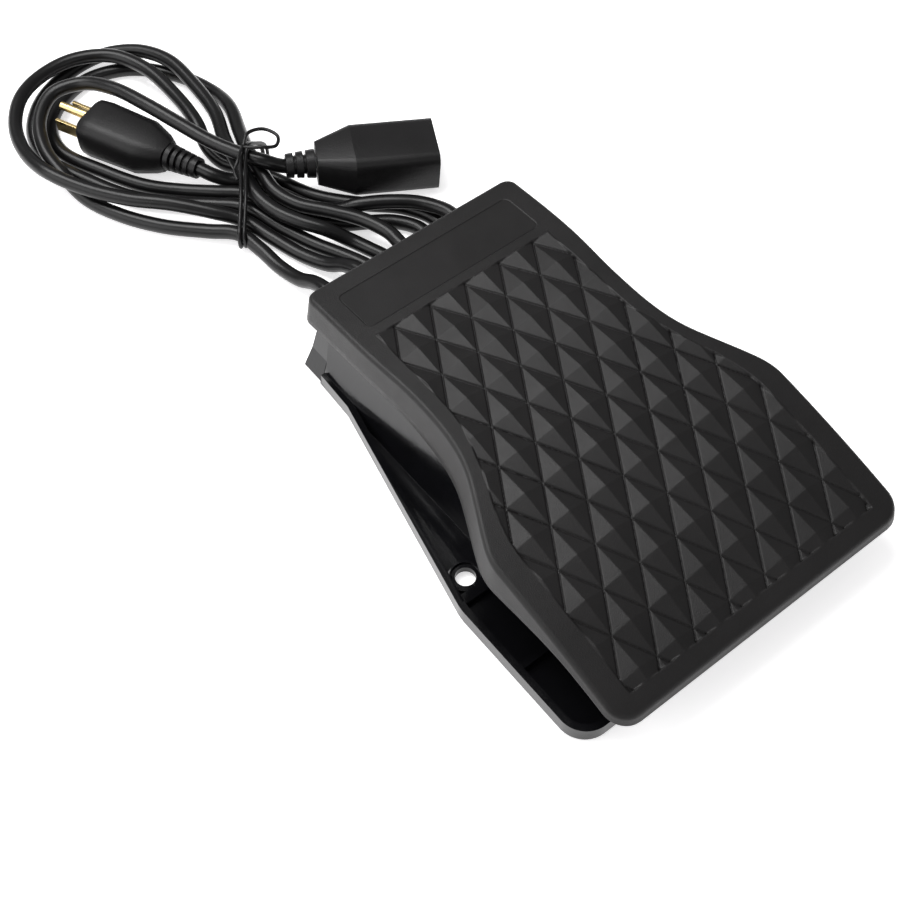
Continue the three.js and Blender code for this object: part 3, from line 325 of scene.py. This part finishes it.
def label_margin(x, y):
    """Distance inside the label's recess, negative outside it."""
    inside_x = LABEL_HALF_WIDTH - abs(x)
    inside_y = min(y - LABEL_FRONT_Y, LABEL_REAR_Y - y)
    if inside_x < LABEL_CORNER and inside_y < LABEL_CORNER:
        return LABEL_CORNER - math.hypot(LABEL_CORNER - inside_x, LABEL_CORNER - inside_y)
    return min(inside_x, inside_y)


def surface_height(x, y):
    """Relief of the tread's top at a point, above the smooth arch."""
    inside = field_margin(x, y)
    label = label_margin(x, y)
    if inside > 0:
        soft = smooth_step(0, FIELD_BLEND, inside)
        return (diamond_relief(x, y) - FIELD_SINK) * soft
    if label > 0:
        return -LABEL_SINK * smooth_step(0, LABEL_BLEND, label)
    return 0


def corner_reach(radius, distance):
    """How far a rounded corner reaches sideways at a distance from the end it rounds."""
    return math.sqrt(max(0, radius**2 - (radius - distance) ** 2))


def half_width(y):
    """Half width of the top edge line, with its rounded front and rear corners."""
    width = along_knots(TREAD_WAIST, y)
    front = y - TREAD_FRONT_Y
    if front < FRONT_CORNER:
        width = FRONT_HALF_WIDTH - FRONT_CORNER + corner_reach(FRONT_CORNER, front)
    rear = TREAD_REAR_Y - y
    if rear < REAR_CORNER:
        width = width - REAR_CORNER + corner_reach(REAR_CORNER, rear)
    return width


def make_tread():
    """The top surface as a fine grid, wrapped down over a rounded edge to the skirt and back inside."""
    rows = FINE_ROWS
    columns = FINE_COLUMNS
    points = []
    faces = []
    for r in range(rows + 1):
        share = r / rows
        y = TREAD_FRONT_Y + (TREAD_REAR_Y - TREAD_FRONT_Y) * share
        width = half_width(y)
        for c in range(columns + 1):
            x = width * (2 * c / columns - 1)
            points.append((x, y, arch_z(y) + surface_height(x, y)))
    stride = columns + 1
    for r in range(rows):
        for c in range(columns):
            a = r * stride + c
            faces.append((a, a + 1, a + stride + 1, a + stride))
    edge = [r * stride for r in range(rows, -1, -1)]
    edge += list(range(1, columns))
    edge += [r * stride + columns for r in range(rows + 1)]
    edge += [rows * stride + c for c in range(columns - 1, 0, -1)]
    rings = [edge]
    outward = []
    count = len(edge)
    for i in range(count):
        before = Vector(points[edge[i - 1]])
        after = Vector(points[edge[(i + 1) % count]])
        along = after - before
        outward.append(Vector((along.y, -along.x, 0)).normalized())

    def ring(offset, drop):
        start = len(points)
        for i in range(count):
            p = Vector(points[edge[i]])
            q = p + outward[i] * offset(p.y)
            points.append((q.x, q.y, arch_z(q.y) - drop(q.y)))
        rings.append(list(range(start, start + count)))

    def depth(y):
        return along_knots(SKIRT_DEPTH, y)

    def flare(y):
        return EDGE_ROUND + SKIRT_FLARE * depth(y)

    for step in range(1, ROUND_STEPS + 1):
        angle = math.pi / 2 * step / ROUND_STEPS
        ring(lambda y, a=angle: EDGE_ROUND * math.sin(a), lambda y, a=angle: EDGE_ROUND * (1 - math.cos(a)))
    for step in range(1, SKIRT_STEPS + 1):
        part = step / SKIRT_STEPS
        ring(
            lambda y, k=part: EDGE_ROUND + (flare(y) - EDGE_ROUND) * k,
            lambda y, k=part: EDGE_ROUND + (depth(y) - SKIRT_LIP - EDGE_ROUND) * k,
        )
    ring(lambda y: flare(y) - SKIRT_LIP, depth)
    ring(lambda y: flare(y) - (SKIRT_WALL - SKIRT_LIP), depth)
    ring(lambda y: flare(y) - SKIRT_WALL, lambda y: depth(y) - SKIRT_LIP)
    ring(lambda y: EDGE_ROUND - SKIRT_WALL, lambda y: SKIRT_INSIDE_DROP)
    for low, high in zip(rings, rings[1:]):
        for i in range(count):
            j = (i + 1) % count
            faces.append((low[i], low[j], high[j], high[i]))
    piece = new_piece("tread_skin", points, faces)
    piece.data.set_sharp_from_angle(angle=math.radians(60))
    return dress(piece, "tread_plastic", "tread")


# ---- cords and what is on them: the same routes as in the CAD, in metres ----
def metres(points):
    return [Vector(p) * MM for p in points]


SOCKET_CORD_ROUTE = metres((
    (-28, 66, 12.5), (-28, 95, 12.5), (-28, 112, 12.5), (-28, 122, 12.4), (-28.6, 130, 9.8), (-30.5, 138, 6),
    (-32, 151, 3.5), (-33, 164, 4), (-36, 175.5, 5.7), (-45, 186, 4.5), (-58, 201, 3.5), (-69, 218, 3.5),
    (-76, 236, 4), (-78, 252, 8.3), (-77, 268, 10.6), (-70, 283, 13), (-58, 291, 15.5), (-45, 286, 17.5),
    (-37, 271, 20.5), (-31.5, 252, 21.5), (-26, 233, 20.5), (-21, 217, 19.5), (-15.5, 203, 19.8),
    (-9.5, 193, 19.2), (-2.5, 188.5, 15.3), (9, 182.4, 14.3),
))
PLUG_CORD_ROUTE = metres((
    (-11, 66, 12.5), (-11, 95, 12.5), (-11, 112, 12.5), (-11, 122, 12.4), (-12.8, 130, 9.6), (-16, 137, 6),
    (-20.5, 150, 3.5), (-25.2, 166, 4), (-30, 181, 5.7), (-39, 191, 8.5), (-51, 204, 10.6),
    (-64, 218, 10.6), (-76, 235, 11.3), (-84, 252, 12.5), (-85, 271, 10.5), (-80, 289, 9.8),
    (-69, 303, 10.6), (-54, 310, 10.6), (-37, 310, 10.8), (-22, 301, 11), (-14.5, 284, 11.2),
    (-13, 262, 10.6), (-15, 240, 10.2), (-18.5, 226, 7.5), (-17, 215.5, 5), (-10, 204.5, 5.7),
    (-3.5, 191.5, 4.2), (2.8, 177, 3.5), (9.5, 167, 3.5), (18.5, 157, 3.5), (30, 145.5, 3.5),
    (36.5, 132, 3.5), (35.5, 119.5, 3.5), (27.5, 110.5, 3.5), (16.5, 108, 3.5), (5.5, 112.5, 3.5),
    (-0.5, 122, 3.5), (-3.5, 131, 3.5), (-8, 141.5, 3.5), (-12.8, 152, 3.5), (-18, 166, 4),
    (-25.3, 186.5, 5.7), (-34, 196.5, 5), (-46, 209, 3.5), (-59, 223.5, 3.5), (-69.5, 245, 3.5),
    (-77, 268, 3.5), (-73.5, 287, 3.5), (-60, 303, 3.5), (-41, 311.5, 3.5), (-23, 311, 5), (-10, 299, 9),
    (-3, 282, 11), (-2.5, 262, 10.8), (-5, 240, 10.6), (-11.5, 222, 11), (-15.2, 208.5, 12.8),
    (-17.8, 196, 12.8), (-20, 184, 12.3), (-18.5, 172, 11.4), (-13.5, 161, 10.6), (-7, 152, 9.2),
    (0.5, 142.5, 4.5), (5.5, 131, 3.5), (9.5, 121, 3.5), (18, 116, 3.5), (26.5, 121, 3.5),
    (28, 131, 3.5), (22, 141, 3.5), (13.5, 147.5, 3.5), (5, 153, 3.5), (-2.5, 160, 3.5),
    (-9.3, 169.5, 3.8), (-15.2, 182, 5), (-20.2, 193, 5.7), (-29.5, 202.5, 5), (-40, 214, 3.5),
    (-51.5, 227, 3.5), (-61.5, 246.5, 3.5), (-69.5, 268, 3.5), (-66, 284, 3.5), (-54, 296, 3.5),
    (-36, 302, 3.5), (-17.5, 296.5, 3.5), (-2.5, 280, 3.5), (4.5, 258, 5), (3, 240, 9), (-3.5, 222, 11),
    (-8, 209, 12.8), (-10.5, 196, 12.8), (-12, 182, 11.2), (-8.5, 170, 10.6), (0, 158, 10.6),
    (8, 146, 10.4), (12.5, 133, 10.4), (13, 121, 10.4), (18.5, 111.5, 10.4), (29, 108.5, 10.4),
    (38, 114, 10.4), (40, 125, 10.4), (34, 137, 10.4), (24.5, 146, 10.4), (13.5, 154.5, 8.8),
    (6, 161, 5), (-1.2, 170, 3.8), (-8, 183.5, 5.2), (-14.8, 198.5, 5.7), (-21, 203.5, 6.3),
    (-26.5, 208.5, 8.8), (-29.8, 214.8, 10), (-36.2, 229.5, 10),
))
TIE_LOOP = (
    (25.2, 0, 1.8), (10, 0, 1.25), (-8, 1, 1.25), (-19, 4.6, 1.7), (-24, 7, 7),
    (-23, 6.5, 14.5), (-18, 4, 20.4),
    (-11.5, 1, 24.9), (-6, 0, 22.5), (0, 0, 18.4), (9, 0, 13.5), (19, 0, 11.2), (26, 0, 9.4), (27.4, 0, 4.4),
)
BOW_LOOP = metres((
    (-14.2, 200.5, 24.9), (-9, 204.5, 26.5), (-2, 203, 26), (1, 196.5, 25), (-3, 192, 25), (-9, 194, 26.2),
    (-15.4, 200.6, 25.1),
))
TWIST_TAIL = metres((
    (-14.6, 200.4, 25.4), (-18, 197, 26), (-22, 193.5, 25.4), (-25, 191.5, 23.6), (-26, 188, 22),
))


def centripetal(points, steps, closed=False):
    """Points along a centripetal Catmull-Rom curve."""
    if closed:
        path = [points[-1]] + list(points) + [points[0], points[1]]
    else:
        path = [points[0] * 2 - points[1]] + list(points) + [points[-1] * 2 - points[-2]]
    found = []
    for p0, p1, p2, p3 in zip(path, path[1:], path[2:], path[3:]):
        t1 = (p1 - p0).length ** 0.5
        t2 = t1 + (p2 - p1).length ** 0.5
        t3 = t2 + (p3 - p2).length ** 0.5
        for step in range(steps):
            t = t1 + (t2 - t1) * step / steps
            a1 = p0 * ((t1 - t) / t1) + p1 * (t / t1)
            a2 = p1 * ((t2 - t) / (t2 - t1)) + p2 * ((t - t1) / (t2 - t1))
            a3 = p2 * ((t3 - t) / (t3 - t2)) + p3 * ((t - t2) / (t3 - t2))
            b1 = a1 * ((t2 - t) / t2) + a2 * (t / t2)
            b2 = a2 * ((t3 - t) / (t3 - t1)) + a3 * ((t - t1) / (t3 - t1))
            found.append(b1 * ((t2 - t) / (t2 - t1)) + b2 * ((t - t1) / (t2 - t1)))
    if not closed:
        found.append(points[-1])
    return found


def curve_piece(name, points, radius, closed=False, sides=6):
    data = bpy.data.curves.new(name, "CURVE")
    data.dimensions = "3D"
    data.bevel_depth = radius
    data.bevel_resolution = sides
    data.use_fill_caps = True
    line = data.splines.new("POLY")
    line.points.add(len(points) - 1)
    for spot, p in zip(line.points, points):
        spot.co = (p.x, p.y, p.z, 1)
    line.use_cyclic_u = closed
    line.use_smooth = True
    piece = bpy.data.objects.new(name, data)
    bpy.context.scene.collection.objects.link(piece)
    return piece


def make_cord(name, route, node):
    """The free length of a cord, from just inside the rear wall to its moulding."""
    points = [p for p in centripetal(route, ROUTE_STEPS) if p.y > CORD_EXIT_Y]
    piece = curve_piece(name, points, CORD_DIAMETER / 2)
    dress(piece, "cord_rubber")
    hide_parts(node)
    return piece


def make_inner_sheath(name, x):
    """The cord's end inside the housing, under the clamp."""
    points = []
    for step in range(SHEATH_STEPS + 1):
        y = SHEATH_START_Y + SHEATH_LENGTH * step / SHEATH_STEPS
        points.append(Vector((x, y, CORD_EXIT_Z)))
    return dress(curve_piece(name, points, CORD_DIAMETER / 2), "cord_rubber")


def make_tie():
    """The twist round the hank: two wraps, a small bow and a loose tail."""
    centre = Vector(TIE_CENTRE)
    across = Vector(TIE_ACROSS) * MM
    along = Vector(TIE_ALONG) * MM
    loop = [centre + across * a + along * b + Vector((0, 0, z * MM)) for a, b, z in TIE_LOOP]
    ring = centripetal(loop, TIE_STEPS, True)
    pieces = [curve_piece("tie_ring", ring, TIE_RADIUS, True, 3)]
    shifted = [p + along * SECOND_WRAP_SHIFT + Vector((0, 0, SECOND_WRAP_LIFT)) for p in ring]
    pieces.append(curve_piece("tie_ring_second", shifted, TWIST_RADIUS, True, 3))
    pieces.append(curve_piece("tie_bow", centripetal(BOW_LOOP, ROUTE_STEPS), TWIST_RADIUS, False, 3))
    pieces.append(curve_piece("tie_tail", centripetal(TWIST_TAIL, ROUTE_STEPS), TWIST_RADIUS, False, 3))
    for piece in pieces:
        dress(piece, "cord_rubber")
    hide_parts("cord_tie")
    return pieces


# ---- floor, light and background ----
def make_stage():
    size = 3
    corners = ((-size, -size), (size, -size), (size, size), (-size, size))
    points = [(x, y, -0.0001) for x, y in corners]
    floor = new_piece("floor", points, [(0, 1, 2, 3)], False)
    material, nodes, links = new_material("floor_white")
    shader = nodes["Principled BSDF"]
    shader.inputs["Base Color"].default_value = (0.93, 0.925, 0.93, 1)
    shader.inputs["Roughness"].default_value = 0.8
    shader.inputs["Emission Color"].default_value = (1, 0.995, 1, 1)
    shader.inputs["Emission Strength"].default_value = 0.62
    floor.data.materials.append(material)


def make_light(name, place, target, size, power, colour=(1, 1, 1)):
    data = bpy.data.lights.new(name, "AREA")
    data.shape = "RECTANGLE"
    data.size = size[0]
    data.size_y = size[1]
    data.energy = power
    data.color = colour
    light = bpy.data.objects.new(name, data)
    bpy.context.scene.collection.objects.link(light)
    way = Vector(target) - Vector(place)
    light.matrix_world = Matrix.Translation(place) @ way.to_track_quat("-Z", "Y").to_matrix().to_4x4()


def make_lights():
    world = bpy.data.worlds.new("world")
    world.use_nodes = True
    world.node_tree.nodes["Background"].inputs["Color"].default_value = (1, 1, 1, 1)
    world.node_tree.nodes["Background"].inputs["Strength"].default_value = 0.32
    bpy.context.scene.world = world
    make_light("key", (-0.8, 0.25, 0.45), (0, 0.05, 0), (0.8, 0.7), 4)
    make_light("overhead", (-0.18, 0.5, 0.95), (0, 0.05, 0), (0.5, 0.9), 11)
    make_light("front", (-0.1, -0.9, 0.6), (0, 0, 0), (0.8, 0.4), 1.2)


def set_look():
    scene = bpy.context.scene
    scene.view_settings.view_transform = "Standard"
    scene.view_settings.look = "None"
    scene.view_settings.exposure = 0.0


# CAD nodes that keep their shape and get rounded edges
ROUNDED = (
    # node, slot, body, bevel
    ("base_tray", "tray_plastic", "base", 0.0005),
    ("rear_cover", "tray_plastic", "base", 0.0005),
    ("rear_cover_screw_left", "steel", "base", 0.0002),
    ("rear_cover_screw_right", "steel", "base", 0.0002),
    ("cord_gland_plug", "cord_rubber", "base", 0.0002),
    ("cord_gland_socket", "cord_rubber", "base", 0.0002),
    ("foot_front_left", "foot_rubber", "base", 0.0003),
    ("foot_front_right", "foot_rubber", "base", 0.0003),
    ("foot_rear_left", "foot_rubber", "base", 0.0003),
    ("foot_rear_right", "foot_rubber", "base", 0.0003),
    ("label_plate", "label_plastic", "tread", 0.0002),
    ("hinge_pin", "steel", "base", 0.0003),
    ("hinge_clip_left", "steel", "base", 0.00015),
    ("hinge_clip_right", "steel", "base", 0.00015),
    ("stop_pad_left", "foot_rubber", "base", 0.0004),
    ("stop_pad_right", "foot_rubber", "base", 0.0004),
    ("switch_body", "switch_plastic", "base", 0.0004),
    ("switch_button", "button_plastic", "switch_button", 0.0002),
    ("switch_lever", "steel", "switch_lever", 0.0001),
    ("switch_screw_front", "steel", "base", 0.0002),
    ("switch_screw_rear", "steel", "base", 0.0002),
    ("switch_terminal_common", "brass", "base", 0.0001),
    ("switch_terminal_normally_open", "brass", "base", 0.0001),
    ("switch_terminal_normally_closed", "brass", "base", 0.0001),
    ("cord_clamp", "switch_plastic", "base", 0.0003),
    ("cord_clamp_screw_left", "steel", "base", 0.0002),
    ("cord_clamp_screw_right", "steel", "base", 0.0002),
    ("splice_neutral", "splice_nylon", "base", 0.0003),
    ("splice_ground", "splice_nylon", "base", 0.0003),
    ("wire_live_plug", "wire_black", "base", 0),
    ("wire_live_socket", "wire_black", "base", 0),
    ("wire_neutral_plug", "wire_white", "base", 0),
    ("wire_neutral_socket", "wire_white", "base", 0),
    ("wire_ground_plug", "wire_green", "base", 0),
    ("wire_ground_socket", "wire_green", "base", 0),
    ("plug_body", "plug_rubber", "base", 0.0008),
    ("plug_relief", "plug_rubber", "base", 0.0002),
    ("plug_blade_live", "brass", "base", 0.0002),
    ("plug_blade_neutral", "brass", "base", 0.0002),
    ("plug_pin_ground", "brass", "base", 0.0003),
    ("socket_body", "plug_rubber", "base", 0.0005),
    ("socket_relief", "plug_rubber", "base", 0.0002),
    ("socket_contact_live", "brass", "base", 0),
    ("socket_contact_neutral", "brass", "base", 0),
    ("socket_contact_ground", "brass", "base", 0),
)


def make_looks():
    """Every CAD node in the list, with rounded edges and a finished material."""
    looks = {}
    for node, slot, body, width in ROUNDED:
        looks[node] = refined_node(node, slot, body, width)
    return looks


def colour_springs():
    """The springs keep their CAD shape, in steel."""
    for spring in ("return_spring_left", "return_spring_right"):
        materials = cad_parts[spring].data.materials
        materials.clear()
        materials.append(MATERIALS["steel"])


def pull_inward(mesh):
    """Moves the outer faces of the CAD tread a little inward so that only the skin shows outside."""
    for vertex in mesh.vertices:
        lift = arch_z(vertex.co.y) - vertex.co.z
        if lift < INNER_DROP:
            vertex.co.z = arch_z(vertex.co.y) - INNER_DROP
        skirt = half_width(min(TREAD_REAR_Y, max(TREAD_FRONT_Y, vertex.co.y)))
        if abs(vertex.co.x) > skirt - INNER_SIDE_REACH:
            vertex.co.x = math.copysign(abs(vertex.co.x) - INNER_SIDE_SHIFT, vertex.co.x)
        if vertex.co.y < TREAD_FRONT_Y:
            vertex.co.y += INNER_END_SHIFT
        if vertex.co.y > TREAD_REAR_Y:
            vertex.co.y -= INNER_END_SHIFT
    mesh.update()


def make_tread_inside():
    """The CAD tread's hidden lugs, seats and ribs, which stay shown under the detailed skin."""
    piece = bpy.data.objects.new("tread_inside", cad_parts["tread"].data.copy())
    bpy.context.scene.collection.objects.link(piece)
    pull_inward(piece.data)
    return dress(piece, "tread_plastic", "tread")


def make_cords():
    """Both cords, with the tie and the cords' ends inside the housing."""
    make_inner_sheath("sheath_plug", PLUG_CORD_X)
    make_inner_sheath("sheath_socket", SOCKET_CORD_X)
    tie_pieces = make_tie()
    make_cord("cord_plug_look", PLUG_CORD_ROUTE, "cord_plug")
    make_cord("cord_socket_look", SOCKET_CORD_ROUTE, "cord_socket")


# ---- the object ----
make_camera()
set_look()
make_stage()
make_lights()
looks = make_looks()
colour_springs()
tread = make_tread()
make_tread_inside()
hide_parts("tread")
make_cords()
